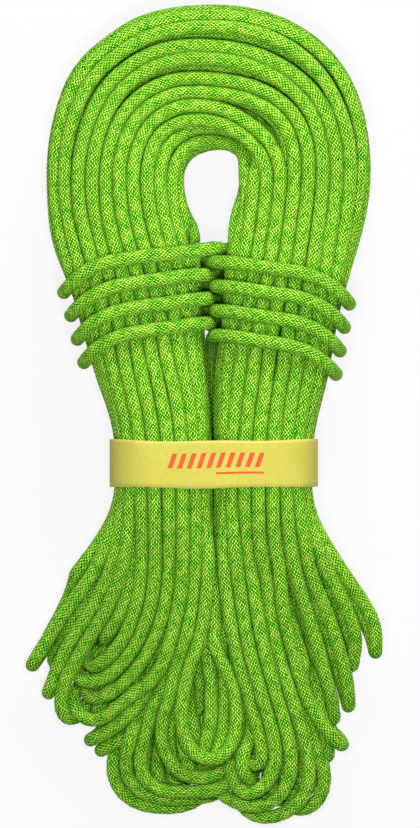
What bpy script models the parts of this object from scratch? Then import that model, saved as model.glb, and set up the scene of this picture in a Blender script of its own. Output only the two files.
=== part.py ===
"""A dynamic climbing rope as it is put away: wound back and forth into a hank, whipped with
figures of eight round both legs and held at its waist by a paper band, lying flat.

The hank lies on the plane z = 0 with its arch towards +Y and its bights towards -Y.
Lengths are metres. "Drop" is the distance below the centre of the arch, towards the bights.
"""
import math

import bmesh
import bpy
import numpy as np

for old in list(bpy.data.objects):
    bpy.data.objects.remove(old, do_unlink=True)

# ---------------------------------------------------------------- the rope
rope_diameter = 0.0098
loop_count = 20                 # passes over the arch in the outer layer
loop_pitch = rope_diameter + 0.0015
tube_resolution = 1             # six sides round the rope

# ---------------------------------------------------------------- the hank
arch_centre_y = 0.1725
hole_radius = 0.0200            # the open eye under the arch
arch_steps = 8
shoulder_drop = 0.0580          # where the legs come together below the eye
wrap_end_drop = 0.1500
band_top_drop = 0.1890
band_width = 0.0330
waist_above_band = 0.0120
waist_below_band = 0.0160
arch_half_width = 0.0467
shoulder_half_width = 0.0485
wrap_end_half_width = 0.0385
waist_half_width = 0.0353
waist_half_gap = 0.0006         # between the two legs at the waist
inner_clearance = 0.0004        # outer layer to the loops buried under it
fan_clearance = 0.0012          # the same where the loops spread and slant
joint_gap = 0.0003              # between faces that meet
halvings = 40                   # of the interval in which a section's depth is found

# ---------------------------------------------------------------- the bights
left_fan_reach = 0.1225
right_fan_reach = 0.1160
fan_inner_reach = 0.0070
fan_spread = 0.53               # share of the spread reached half way down the fan
fan_settle = 0.30               # share of the settling on the ground reached there
outer_tip_drop = 0.3520
inner_tip_drop = 0.4560
side_half_height = 0.0100
middle_half_height = 0.0250
deepest_bight = 0.0220
row_bight_rise = 0.0140         # a bight within one row ends this much higher
right_pairing = 23              # pass numbers joined by one bight add up to this, modulo
left_pairing = 20               # the loop count
row_swell = 0.6                 # below 1 the upper row is high over most of the fan's width

# ---------------------------------------------------------------- the figures of eight
wrap_turns = 4
wrap_clearance = 0.0013
wrap_steps = 10
first_tip_drop = 0.0854
tip_step = 0.0082
crossing_middle_drop = 0.0847
crossing_step = rope_diameter + 0.0006
eye_lead = 0.0045               # how far short of the crossing the first turn begins
turn_down_shares = (0.25, 0.5, 0.75)    # of the quarter turn behind the last crossing

# ---------------------------------------------------------------- the paper band
band_thickness = 0.00035
band_clearance = 0.0008
band_arc_steps = 14
lap_length = 0.0450
lap_thickness = 0.00035

# ---------------------------------------------------------------- the rope's two ends
joint_distance = 1.2 * rope_diameter    # from a route's corner to where its nodes meet
sheath_wall = 0.0009
kern_radius = 0.0011
kern_count = 6                  # round one in the middle
tracer_radius = 0.0003
tail_sides = 12
kern_sides = 8
sleeve_wall = 0.0004
sleeve_length = 0.0180
melt_length = 0.0025
start_tail_length = 0.0440
start_tail_lift = -0.0030       # it ends short of the other bights, so it goes down more steeply
finish_tail_drop = 0.1700
finish_tail_length = 0.0900

rope_radius = rope_diameter / 2
floor_cut = rope_diameter / 10
waist_top_drop = band_top_drop - waist_above_band
waist_bottom_drop = band_top_drop + band_width + waist_below_band
wrap_half_gap = rope_radius + wrap_clearance
wrap_lift = rope_diameter + wrap_clearance
band_lift = band_thickness + band_clearance + lap_thickness + joint_gap + floor_cut


# ---------------------------------------------------------------- materials
def material(name, colour, roughness, metallic=0.0):
    made = bpy.data.materials.new(name)
    made.use_nodes = True
    shader = made.node_tree.nodes["Principled BSDF"]
    shader.inputs["Base Color"].default_value = (*colour, 1.0)
    shader.inputs["Roughness"].default_value = roughness
    shader.inputs["Metallic"].default_value = metallic
    made.diffuse_color = (*colour, 1.0)
    return made


sheath_green = material("sheath_green", (0.30, 0.66, 0.03), 0.75)
buried_green = material("buried_green", (0.06, 0.30, 0.02), 0.85)
kern_white = material("kern_white", (0.86, 0.86, 0.82), 0.80)
tracer_red = material("tracer_red", (0.72, 0.10, 0.06), 0.70)
sleeve_black = material("sleeve_black", (0.03, 0.03, 0.03), 0.40)
melted_green = material("melted_green", (0.10, 0.25, 0.03), 0.35)
band_paper = material("band_paper", (0.80, 0.74, 0.22), 0.80)


# ---------------------------------------------------------------- objects from points
def mesh_object(name, build, finish):
    """An object from a bmesh that build() fills, with its faces pointing out."""
    shape = bmesh.new()
    build(shape)
    bmesh.ops.recalc_face_normals(shape, faces=shape.faces)
    mesh = bpy.data.meshes.new(name)
    shape.to_mesh(mesh)
    shape.free()
    mesh.materials.append(finish)
    made = bpy.data.objects.new(name, mesh)
    bpy.context.collection.objects.link(made)
    return made


def loft(name, rings, finish, closed=False):
    """A solid through rings of points: each ring has the same number of points."""
    def build(shape):
        rows = [[shape.verts.new(tuple(point)) for point in ring] for ring in rings]
        count = len(rows[0])
        pairs = list(zip(rows, rows[1:]))
        if closed:
            pairs.append((rows[-1], rows[0]))
        for near, far in pairs:
            for side in range(count):
                after = (side + 1) % count
                shape.faces.new((near[side], near[after], far[after], far[side]))
        if not closed:
            for row in (rows[0], rows[-1]):
                middle = shape.verts.new(sum((vert.co for vert in row), row[0].co * 0) / count)
                for side in range(count):
                    shape.faces.new((row[side], row[(side + 1) % count], middle))
    return mesh_object(name, build, finish)


def rope_tube(name, points, finish):
    """One unbroken length of rope through the points, cut flat where it lies on the ground."""
    curve = bpy.data.curves.new(name + "_route", "CURVE")
    curve.dimensions = "3D"
    curve.bevel_depth = rope_radius
    curve.bevel_resolution = tube_resolution
    curve.use_fill_caps = True
    curve.resolution_u = 1
    curve.render_resolution_u = 0
    route = curve.splines.new("POLY")
    route.points.add(len(points) - 1)
    for knot, point in zip(route.points, points):
        knot.co = (*point, 1.0)
    guide = bpy.data.objects.new(name + "_guide", curve)
    bpy.context.collection.objects.link(guide)
    bpy.context.view_layer.update()
    seen = guide.evaluated_get(bpy.context.evaluated_depsgraph_get())
    mesh = bpy.data.meshes.new_from_object(seen)
    bpy.data.objects.remove(guide, do_unlink=True)

    made = bpy.data.objects.new(name, mesh)
    bpy.context.collection.objects.link(made)
    mesh.materials.clear()
    mesh.materials.append(finish)
    cut = made.modifiers.new("flat underside", "BOOLEAN")
    cut.operation = "DIFFERENCE"
    cut.solver = "EXACT"
    cut.object = ground
    mesh.shade_smooth()
    return made


def ground_block():
    """The block below z = 0 that cuts the undersides flat."""
    reach = 2 * inner_tip_drop
    corners = [(-reach, -reach), (reach, -reach), (reach, reach), (-reach, reach)]
    rings = [[(x, y, z) for x, y in corners] for z in (-reach, 0.0)]
    block = loft("ground_cutter", rings, buried_green)
    block.hide_render = True
    block.display_type = "WIRE"
    return block


# ---------------------------------------------------------------- the hank's cross-section
def half_depth_for(half_width):
    """Half the depth of an ellipse that the loops fill side by side, through their centres."""
    wanted = loop_count * loop_pitch
    low, high = rope_radius, wanted / 2
    for _ in range(halvings):
        middle = (low + high) / 2
        if ellipse_length(half_width, middle) < wanted:
            low = middle
        else:
            high = middle
    return low


def ellipse_points(half_width, half_depth, steps=720):
    angles = np.linspace(0.0, 2 * math.pi, steps + 1)
    return np.column_stack((half_width * np.cos(angles), half_depth * np.sin(angles)))


def ellipse_length(half_width, half_depth):
    return np.linalg.norm(np.diff(ellipse_points(half_width, half_depth), axis=0), axis=1).sum()


def ring(half_width):
    """Centres (outward, up) of the outer loops, evenly round the section, from its outer end."""
    points = ellipse_points(half_width, half_depth_for(half_width))
    run = np.concatenate(([0.0], np.cumsum(np.linalg.norm(np.diff(points, axis=0), axis=1))))
    places = (np.arange(loop_count) + 0.5) / loop_count * run[-1]
    return np.column_stack([np.interp(places, run, points[:, axis]) for axis in (0, 1)])


stations = [
    # drop, half width to the rope's outside, half gap between the legs, lift off the ground
    (0.0, arch_half_width, hole_radius, 0.0),
    (shoulder_drop, shoulder_half_width, wrap_half_gap, wrap_lift),
    (wrap_end_drop, wrap_end_half_width, wrap_half_gap, wrap_lift),
    (waist_top_drop, waist_half_width, waist_half_gap, band_lift),
    (waist_bottom_drop, waist_half_width, waist_half_gap, band_lift),
]


def leg_at(drop):
    """Half width, half depth (both to the rope's outside), middle distance, middle height."""
    drops = [station[0] for station in stations]
    half_width, half_gap, lift = (
        float(np.interp(drop, drops, [station[column] for station in stations]))
        for column in (1, 2, 3))
    depths = [half_depth_for(station[1] - rope_radius) for station in stations]
    half_depth = float(np.interp(drop, drops, depths)) + rope_radius
    return half_width, half_depth, half_gap + half_width, half_depth + lift - floor_cut


def leg_section(side, drop):
    """The outer loops' centres across one leg; side is -1 on the left and 1 on the right."""
    half_width, _, middle, height = leg_at(drop)
    return np.array([(side * (middle + out), arch_centre_y - drop, height + up)
                     for out, up in ring(half_width - rope_radius)])


def arch_section(angle):
    """The outer loops' centres across the arch, angle 0 at the right leg."""
    half_width, _, middle, height = leg_at(0.0)
    return np.array([((middle + out) * math.cos(angle),
                      arch_centre_y + (middle + out) * math.sin(angle), height + up)
                     for out, up in ring(half_width - rope_radius)])


# ---------------------------------------------------------------- the fan of bights
row_length = loop_count // 2


def fan_share(index):
    """How far from the fan's outer edge (0) to its inner edge (1) a pass lies."""
    along = index if index < row_length else loop_count - 1 - index
    return along / (row_length - 1)


def fan_height(index):
    """Height of a pass at its bight: the lower row lies on the ground."""
    low = rope_radius - floor_cut
    if index >= row_length:
        return low
    swell = math.sin(math.pi * fan_share(index)) ** row_swell
    return low + 2 * (side_half_height + (middle_half_height - side_half_height) * swell)


def partner(side, index):
    """The pass that the bight at one end joins to this one, or None at the rope's end."""
    total = right_pairing if side > 0 else left_pairing
    other = (total - (index + 1) - 1) % loop_count
    return None if other == index else other


def bight_place(side, index):
    """Where a pass ends and its bight begins."""
    reach = right_fan_reach if side > 0 else left_fan_reach
    other = partner(side, index)
    if other is None:
        other = index
    share = (fan_share(index) + fan_share(other)) / 2
    tip = outer_tip_drop + (inner_tip_drop - outer_tip_drop) * math.sin(share * math.pi / 2)
    if other != index and (other < row_length) == (index < row_length):
        tip -= row_bight_rise
    x = side * (reach + (fan_inner_reach - reach) * fan_share(index))
    place = np.array((x, 0.0, fan_height(index)))
    across = side * (reach + (fan_inner_reach - reach) * fan_share(other))
    half = np.linalg.norm((x - across, fan_height(index) - fan_height(other))) / 2
    depth = min(max(half, rope_radius), deepest_bight)
    place[1] = arch_centre_y - (tip - depth)
    return place, depth


def fan_middle(side, index, waist):
    """Half way between the waist and the bight."""
    end, _ = bight_place(side, index)
    spread = np.array((fan_spread, 0.5, fan_settle))
    return waist[index] * (1 - spread) + end * spread


leg_drops = [station[0] for station in stations[1:]]
arch_sections = [arch_section(step / arch_steps * math.pi) for step in range(arch_steps + 1)]
sections = {side: [leg_section(side, drop) for drop in leg_drops] for side in (-1, 1)}
for side in (-1, 1):
    waist = sections[side][-1]
    sections[side].append(np.array([fan_middle(side, index, waist)
                                    for index in range(loop_count)]))


def run_down(side, index):
    """A pass from the arch down one leg to its bight."""
    return [section[index] for section in sections[side]] + [bight_place(side, index)[0]]


def bight(side, index, other):
    """The three points that turn the rope from one pass into the next."""
    near, depth = bight_place(side, index)
    far, _ = bight_place(side, other)
    middle, half = (near + far) / 2, (near - far) / 2
    down = np.array((0.0, -depth, 0.0))
    turns = (math.pi / 4, math.pi / 2, 3 * math.pi / 4)
    return [middle + half * math.cos(turn) + down * math.sin(turn) for turn in turns]


def wound_route():
    """The outer layer from the rope's start, at the left bights, to the eye on the left."""
    index = left_pairing - 1
    side = -1
    points = []
    while index is not None:
        over = [section[index] for section in arch_sections]
        if side < 0:
            over.reverse()
        points += run_down(side, index)[::-1] + over + run_down(-side, index)
        side = -side
        other = partner(side, index)
        if other is not None:
            points += bight(side, index, other)
        index = other
    return points


def toward(start, end, distance):
    """The point this far from start on the way to end."""
    step = end - start
    return start + step * (distance / np.linalg.norm(step))


route = wound_route()
# The first stretch stops short and the rope's starting end carries its line on.
start_line = (route[1], route[0] + np.array((0.0, 0.0, start_tail_lift)))
start_joint = toward(start_line[0], start_line[1], joint_distance)
route[0] = start_joint
# The last pass leaves the hank at the eye and becomes the first figure of eight.
last_pass = (left_pairing // 2) - 1
last_run = [arch_sections[-1][last_pass], sections[-1][0][last_pass]]
eye_joint = toward(last_run[0], last_run[1], joint_distance)
below_eye = len(sections[-1]) + 1
route = route[:-below_eye] + [eye_joint]


# ---------------------------------------------------------------- the figures of eight
def wrap_point(side, turn, drop):
    """Round one leg: turn 0 at its outer side, pi between the legs, up over the front."""
    half_width, half_depth, middle, height = leg_at(drop)
    stand_off = rope_radius + wrap_clearance
    out = math.cos(turn) * (half_width + stand_off if math.cos(turn) > 0 else middle)
    up = math.sin(turn) * (half_depth + stand_off)
    return np.array((side * (middle + out), arch_centre_y - drop, height + up))


def tip_drop(number):
    return first_tip_drop + tip_step * number


def crossing_drop(number):
    return crossing_middle_drop + crossing_step * (number - (2 * wrap_turns - 1) / 2)


def half_wrap(side, start, end, first, last):
    """Half a turn between an outer side and the crossing; the drop follows the width."""
    points = []
    for step in range(1, wrap_steps + 1):
        turn = start + (end - start) * step / wrap_steps
        share = (math.cos(start) - math.cos(turn)) / (math.cos(start) - math.cos(end))
        points.append(wrap_point(side, turn, first + (last - first) * share))
    return points


def wrap_route():
    """From the eye behind the left leg, eight half figures, then down to the waist."""
    run = eye_joint - last_run[0]
    start = eye_joint + run / np.linalg.norm(run) * joint_gap
    straight = start + run / np.linalg.norm(run) * rope_diameter
    points = [start, straight]
    drop = crossing_drop(-1) - eye_lead
    points.append(np.array((-eye_lead, arch_centre_y - drop, leg_at(drop)[3])))
    points += half_wrap(-1, math.pi, 2 * math.pi, crossing_drop(-1), tip_drop(0))[1:]
    side = -1
    for number in range(2 * wrap_turns):
        points += half_wrap(side, 0.0, math.pi, tip_drop(number), crossing_drop(number))
        side = -side
        if number < 2 * wrap_turns - 1:
            points += half_wrap(side, math.pi, 2 * math.pi, crossing_drop(number),
                                tip_drop(number + 1))
    # Between the legs the rope turns down behind the crossing and runs on to the waist.
    top = points[-1]
    end = np.array((0.0, arch_centre_y - finish_tail_drop + joint_gap, tail_height))
    bend = end + np.array((0.0, rope_diameter, 0.0))
    for share in turn_down_shares:
        turn = share * math.pi / 2
        points.append(np.array((0.0, top[1] + (bend[1] - top[1]) * (1 - math.cos(turn)),
                                top[2] + (bend[2] - top[2]) * math.sin(turn))))
    return points + [bend, end]


# ---------------------------------------------------------------- the measure of the tubes
def least_gap(points):
    """Least gap between stretches of a tube that aren't next to each other along it."""
    spacing, neighbours = rope_diameter / 5, 1.5 * rope_diameter
    points = np.array(points)
    steps = np.linalg.norm(np.diff(points, axis=0), axis=1)
    run = np.concatenate(([0.0], np.cumsum(steps)))
    places = np.arange(0.0, run[-1], spacing)
    fine = np.column_stack([np.interp(places, run, points[:, axis]) for axis in range(3)])
    nearest = np.inf
    for first in range(0, len(fine), 500):
        block = fine[first:first + 500]
        apart = np.linalg.norm(block[:, None, :] - fine[None, :, :], axis=2)
        along = np.abs(places[first:first + 500][:, None] - places[None, :])
        apart[along < neighbours] = np.inf
        nearest = min(nearest, apart.min())
    return nearest - rope_diameter


_, waist_half_depth, waist_middle, waist_height = leg_at(waist_bottom_drop)
tail_height = waist_height - waist_half_depth - band_clearance + joint_gap + rope_radius

ground = ground_block()
wrap_points = wrap_route()
rope_tube("rope_outer_loops", route, sheath_green)
rope_tube("rope_figure_eight_wraps", wrap_points, sheath_green)
print("outer loops:", len(route), "points, least gap", round(least_gap(route) * 1000, 2), "mm")
print("wraps:", len(wrap_points), "points, least gap",
      round(least_gap(wrap_points) * 1000, 2), "mm")


# ---------------------------------------------------------------- the buried loops
def inside(section, clearance=inner_clearance):
    """The section's loop centres drawn in to just under the outer layer."""
    outward = section - section.mean(axis=0)
    flat = np.linalg.norm(outward[:, :2], axis=1)
    sign = np.sign(outward[:, 0] * outward[0, 0] + outward[:, 1] * outward[0, 1])
    plane = np.column_stack((flat * sign, outward[:, 2]))
    tangent = np.roll(plane, -1, axis=0) - np.roll(plane, 1, axis=0)
    normal = np.column_stack((tangent[:, 1], -tangent[:, 0]))
    normal /= np.linalg.norm(normal, axis=1)[:, None]
    normal *= np.sign((normal * plane).sum(axis=1))[:, None]
    across = outward[0, :2] / np.linalg.norm(outward[0, :2])
    shift = np.column_stack((normal[:, :1] * across, normal[:, 1]))
    return section - shift * (rope_radius + clearance)


arch_parts = [sections[1][0]] + arch_sections + [sections[-1][0]]
loft("rope_buried_loops_arch", [inside(part) for part in arch_parts], buried_green)
shoulder_step = np.array((0.0, -joint_gap, 0.0))
for side, word in ((-1, "left"), (1, "right")):
    top, *straight, waist, fan = sections[side]
    rings = [inside(top + shoulder_step)] + [inside(part) for part in straight]
    rings += [inside(part, fan_clearance) for part in (waist, fan)]
    loft("rope_buried_loops_" + word + "_leg", rings, buried_green)


# ---------------------------------------------------------------- the paper band
def band_loop(stand_off):
    """The band's line round both legs: two half ellipses joined straight across."""
    points = []
    for side, first in ((1, -math.pi / 2), (-1, math.pi / 2)):
        for step in range(band_arc_steps + 1):
            turn = first + math.pi * step / band_arc_steps
            points.append((side * waist_middle + (waist_half_width + stand_off) * math.cos(turn),
                           waist_height + (waist_half_depth + stand_off) * math.sin(turn)))
    return points


def paper_band():
    inner = band_loop(band_clearance)
    outer = band_loop(band_clearance + band_thickness)
    top = arch_centre_y - band_top_drop
    bottom = top - band_width
    rings = [[(x_in, top, z_in), (x_out, top, z_out), (x_out, bottom, z_out),
              (x_in, bottom, z_in)] for (x_in, z_in), (x_out, z_out) in zip(inner, outer)]
    return loft("paper_band", rings, band_paper, closed=True)


def paper_lap():
    """The band's end, lapped over its start on the underside and glued there."""
    high = waist_height - waist_half_depth - band_clearance - band_thickness - joint_gap
    low = high - lap_thickness
    top = arch_centre_y - band_top_drop
    rings = []
    for x in (-lap_length / 2, lap_length / 2):
        rings.append([(x, top, low), (x, top, high),
                      (x, top - band_width, high), (x, top - band_width, low)])
    return loft("paper_band_lap", rings, band_paper)


paper_band()
paper_lap()


# ---------------------------------------------------------------- the rope's two ends
def frame_along(axis):
    side = np.cross(axis, (0.0, 0.0, 1.0))
    side /= np.linalg.norm(side)
    return side, np.cross(side, axis)


def circle(centre, axis, radius, sides):
    side, up = frame_along(axis)
    return [centre + radius * (math.cos(turn) * side + math.sin(turn) * up)
            for turn in (2 * math.pi * step / sides for step in range(sides))]


def rod(name, start, axis, length, radius, sides, finish, offset=(0.0, 0.0)):
    side, up = frame_along(axis)
    base = start + offset[0] * side + offset[1] * up
    rings = [circle(base, axis, radius, sides), circle(base + axis * length, axis, radius, sides)]
    return loft(name, rings, finish)


def pipe(name, start, axis, length, outer, inner, finish):
    end = start + axis * length
    rings = [circle(start, axis, inner, tail_sides), circle(start, axis, outer, tail_sides),
             circle(end, axis, outer, tail_sides), circle(end, axis, inner, tail_sides)]
    return loft(name, rings, finish, closed=True)


def rope_end(word, start, axis, length):
    """A stretch of sheath with its core strands and tracer, sealed and sleeved at its end."""
    axis = axis / np.linalg.norm(axis)
    sheath_length = length - melt_length - joint_gap
    pipe(word + "_end_sheath", start, axis, sheath_length, rope_radius,
         rope_radius - sheath_wall, sheath_green)
    ring_radius = 2 * kern_radius + joint_gap
    rod(word + "_end_kern_1", start, axis, sheath_length, kern_radius, kern_sides, kern_white)
    for number in range(kern_count):
        turn = 2 * math.pi * number / kern_count
        place = (ring_radius * math.cos(turn), ring_radius * math.sin(turn))
        rod(word + "_end_kern_" + str(number + 2), start, axis, sheath_length, kern_radius,
            kern_sides, kern_white, place)
    half_turn = math.pi / kern_count
    tracer_place = rope_radius - sheath_wall - joint_gap - tracer_radius
    rod(word + "_end_tracer", start, axis, sheath_length, tracer_radius, kern_sides, tracer_red,
        (tracer_place * math.cos(half_turn), tracer_place * math.sin(half_turn)))
    rod(word + "_end_melt", start + axis * (sheath_length + joint_gap), axis, melt_length,
        rope_radius, tail_sides, melted_green)
    sleeve_start = start + axis * (length - sleeve_length)
    pipe(word + "_end_sleeve", sleeve_start, axis, sleeve_length,
         rope_radius + joint_gap + sleeve_wall, rope_radius + joint_gap, sleeve_black)


start_axis = start_line[1] - start_line[0]
start_axis = start_axis / np.linalg.norm(start_axis)
rope_end("start", start_joint + start_axis * joint_gap, start_axis, start_tail_length)
rope_end("finish", np.array((0.0, arch_centre_y - finish_tail_drop, tail_height)),
         np.array((0.0, -1.0, 0.0)), finish_tail_length)


# ---------------------------------------------------------------- the hank's place
def stand_on_origin():
    """Hang every piece on one empty and bring the middle of the underside to the origin."""
    hank = bpy.data.objects.new("hank", None)
    bpy.context.collection.objects.link(hank)
    bpy.context.view_layer.update()
    graph = bpy.context.evaluated_depsgraph_get()
    pieces = [piece for piece in bpy.data.objects if piece.type == "MESH" and piece != ground]
    corners = []
    for piece in pieces:
        mesh = piece.evaluated_get(graph).data
        places = np.empty(len(mesh.vertices) * 3)
        mesh.vertices.foreach_get("co", places)
        places = places.reshape(-1, 3)
        corners += [places.min(axis=0), places.max(axis=0)]
    low, high = np.min(corners, axis=0), np.max(corners, axis=0)
    for piece in pieces + [ground]:
        piece.parent = hank
    hank.location = (-(low[0] + high[0]) / 2, -(low[1] + high[1]) / 2, 0.0)
    print("hank", [round(float(size) * 1000, 1) for size in high - low], "mm, axis at x",
          round(hank.location.x * 1000, 2), "mm, y", round(hank.location.y * 1000, 2), "mm")


stand_on_origin()
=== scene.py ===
import math
import bpy
import numpy as np
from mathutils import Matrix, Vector, kdtree


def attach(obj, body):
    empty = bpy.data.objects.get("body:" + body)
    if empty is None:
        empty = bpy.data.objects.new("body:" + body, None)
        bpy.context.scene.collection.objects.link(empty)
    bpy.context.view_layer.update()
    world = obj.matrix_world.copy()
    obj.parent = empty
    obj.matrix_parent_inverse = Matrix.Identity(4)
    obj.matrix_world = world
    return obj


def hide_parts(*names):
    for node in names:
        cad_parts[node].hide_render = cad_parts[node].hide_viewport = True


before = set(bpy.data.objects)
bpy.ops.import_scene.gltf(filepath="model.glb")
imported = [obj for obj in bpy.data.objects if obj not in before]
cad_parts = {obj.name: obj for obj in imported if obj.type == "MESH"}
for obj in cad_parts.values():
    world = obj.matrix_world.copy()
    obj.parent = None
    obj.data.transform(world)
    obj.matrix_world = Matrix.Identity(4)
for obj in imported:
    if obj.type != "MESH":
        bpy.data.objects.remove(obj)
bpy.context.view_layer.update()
print("frame loaded,", len(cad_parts), "nodes")

# The photograph's scale, and where the hank's axis and the middle of its arch lie in it and here
photo = {"width": 420, "height": 828, "pixel": 0.0007, "axisAt": 211, "archAt": 170}
hankPlace = {"x": 0.003197, "y": 0.173876}


def fromPhoto(across, down, height):
    # a point by its pixel and its height in millimetres
    return np.array((hankPlace["x"] + (across - photo["axisAt"]) * photo["pixel"],
                     hankPlace["y"] - (down - photo["archAt"]) * photo["pixel"],
                     height * 0.001))


# The camera looks straight down
cameraSetup = {"height": 1.2, "near": 0.05, "far": 10.0}


def addCamera():
    middle = fromPhoto(photo["width"] / 2, photo["height"] / 2, 0)
    bpy.ops.object.camera_add(location=(middle[0], middle[1], cameraSetup["height"]),
                              rotation=(0, 0, 0))
    camera = bpy.context.object
    camera.data.type = "ORTHO"
    camera.data.ortho_scale = photo["height"] * photo["pixel"]
    camera.data.clip_start = cameraSetup["near"]
    camera.data.clip_end = cameraSetup["far"]
    bpy.context.scene.camera = camera


bpy.ops.object.select_all(action="DESELECT")
addCamera()
print("camera set")

# The rope, and how its passes lie in a leg
rope = {
    "diameter": 0.0098,
    "layers": (24, 16, 9, 1),       # passes in each layer of a leg, from the outside in
    "layerStep": 0.0099,
    "pitch": 0.00998,               # between neighbours in the outer layer
    "upperPower": 3.0,              # how square the upper half of a leg is
    "lowerPower": 2.0,
    "wander": ((1.3, 0.26), (2.9, 0.18), (5.1, 0.06)),  # a pass's waves, and their size in pitches
    "wanderRise": 0.0040,           # outwards, in metres for a wave of size 1
    "wanderFree": 0.7,              # how soon a pass may wander beyond the waist
    "spacing": 0.0060,              # between points while the rope settles
    "seed": 7,
}
legShape = {
    # edges of the two legs by pixel row of the photograph, and their lift off the ground
    "down": (170, 200, 222, 240, 256, 284, 320, 356, 384, 407, 430, 510),
    "leftOuter": (48, 49, 50.5, 53, 59, 70, 80, 90, 98, 110, 116, 115),
    "leftInner": (184, 185, 190.5, 195, 199, 203.5, 205.5, 207.3, 209.6, 211, 213, 213.3),
    "rightInner": (242, 236.5, 232, 228.5, 225.5, 223.5, 221, 216, 213.5, 213.5, 213.8, 213.8),
    "rightOuter": (371, 368, 363.5, 358.5, 354, 346, 338, 331, 326.5, 319.5, 311.5, 311.5),
    "lift": (0.0, 0.0010, 0.0044, 0.0075, 0.0100, 0.0111, 0.0111, 0.0111, 0.0100, 0.0060,
             0.0030, 0.0030),
    "step": 0.008,                  # between stations
    "fine": 0.001,                  # between rows of the smoothed tables
    "margin": 0.03,                 # how far these go on past both ends
    "smooth": 0.014,
}
archShape = {
    # by degrees from the right leg over the top: pixels from the arch's middle to its two edges
    "turn": (0, 10, 18, 25, 32, 40, 50, 60, 70, 90, 110, 119, 126, 131, 140, 148, 155, 162, 170,
             180),
    "outer": (160, 161, 163.5, 165.5, 167.5, 169.5, 170, 169.5, 168, 165, 168.5, 171, 168, 170,
              171, 169.5, 166.5, 164.5, 163, 163),
    "inner": (31.5, 34, 36.5, 37, 35.5, 32.5, 29, 27, 25, 22.5, 22, 22, 22, 22, 22.5, 23, 23.5,
              24, 25, 26),
    "steps": 27,
    # how far the outer layer's slots have shifted towards the eye, in pitches, by degrees
    "driftSlots": (0, 2, 4, 5, 6, 7, 8, 10, 12, 23),
    "driftTurn": (-40, 0, 20, 50, 90, 130, 180),
    "driftDown": 0.06,              # the drop that counts as the first of these turns
    "drift": ((0, 0, 0, 0, 0, 0, 0, 0, 0, 0),
              (0.1, 0.4, 0.45, 0.45, 0.45, 0.6, 0.5, 0.2, 0, 0),
              (0.2, 0.7, 0.75, 0.7, 0.7, 1.15, 1.0, 0.4, 0, 0),
              (0, 0.4, 0.94, 1.05, 0.6, 1.35, 1.2, 0.5, 0, 0),
              (0, 0.45, 0.7, 0.85, 0.8, 0.8, 0.5, 0.15, 0, 0),
              (0, 0.1, 0.2, 0.2, 0.2, 0.2, 0.2, 0.1, 0, 0),
              (0, 0, 0, 0, 0, 0, 0, 0, 0, 0)),
}
radius = rope["diameter"] / 2
rng = np.random.default_rng(rope["seed"])


def runAlong(line):
    # how far along a line each of its points lies
    return np.concatenate(([0], np.cumsum(np.linalg.norm(np.diff(line, axis=0), axis=1))))


def pointsAt(places, run, line):
    return np.column_stack([np.interp(places, run, line[:, axis])
                            for axis in range(line.shape[1])])


def sectionOutline(halfWidth, halfDepth, steps=360):
    # the line through the rope centres of one layer, from its outer end over the top
    turn = np.linspace(0, 2 * math.pi, steps + 1)
    cosine, sine = np.cos(turn), np.sin(turn)
    power = np.where(sine >= 0, rope["upperPower"], rope["lowerPower"])
    across = halfWidth * np.sign(cosine) * np.abs(cosine) ** (2 / power)
    up = halfDepth * np.sign(sine) * np.abs(sine) ** (2 / power)
    return np.column_stack((across, up))


def outlineLength(outline):
    return np.linalg.norm(np.diff(outline, axis=0), axis=1).sum()


def depthFor(halfWidth):
    # half the depth at which the outer layer just fills its outline
    wanted = rope["layers"][0] * rope["pitch"]
    low, high = radius, wanted / 2
    for _ in range(30):
        middle = (low + high) / 2
        if outlineLength(sectionOutline(halfWidth, middle)) < wanted:
            low = middle
        else:
            high = middle
    return low


legDrops = (np.array(legShape["down"]) - photo["archAt"]) * photo["pixel"]
waistDrop = float(legDrops[-1])
dropTable = np.arange(-legShape["margin"], waistDrop + legShape["margin"], legShape["fine"])


def smoothTable(values):
    table = np.interp(dropTable, legDrops, values)
    reach = int(legShape["smooth"] / legShape["fine"])
    weights = np.hanning(2 * reach + 1)
    padded = np.pad(table, reach, mode="edge")
    return np.convolve(padded, weights / weights.sum(), mode="valid")


def legTables(inner, outer):
    # half width to the outside, middle from the hank's axis and half depth of one leg
    inner, outer = ((np.array(legShape[edge]) - photo["axisAt"]) * photo["pixel"]
                    for edge in (inner, outer))
    width = np.abs(outer - inner) / 2
    depth = [depthFor(half - radius) + radius for half in width]
    return [smoothTable(values) for values in (width, (inner + outer) / 2, depth)]


legs = {-1: legTables("leftInner", "leftOuter"), 1: legTables("rightInner", "rightOuter")}
liftTable = smoothTable(legShape["lift"])


def legAt(drop, sign):
    # half width and half depth to the outside, place of the middle across, height of the middle
    width, middle, depth, lift = (float(np.interp(drop, dropTable, table)) for table in
                                  legs[sign] + [liftTable])
    return width, depth, middle, depth + lift


def archAt(turn):
    # the same round the arch, with the middle's distance from the arch's own middle
    outer, inner = (np.interp(math.degrees(turn), archShape["turn"], archShape[edge])
                    * photo["pixel"] for edge in ("outer", "inner"))
    width = (outer - inner) / 2
    depth = depthFor(width - radius) + radius
    return width, depth, (outer + inner) / 2, depth


slots = [(layer, number) for layer, count in enumerate(rope["layers"]) for number in range(count)]
slotAt = {slot: place for place, slot in enumerate(slots)}


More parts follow.
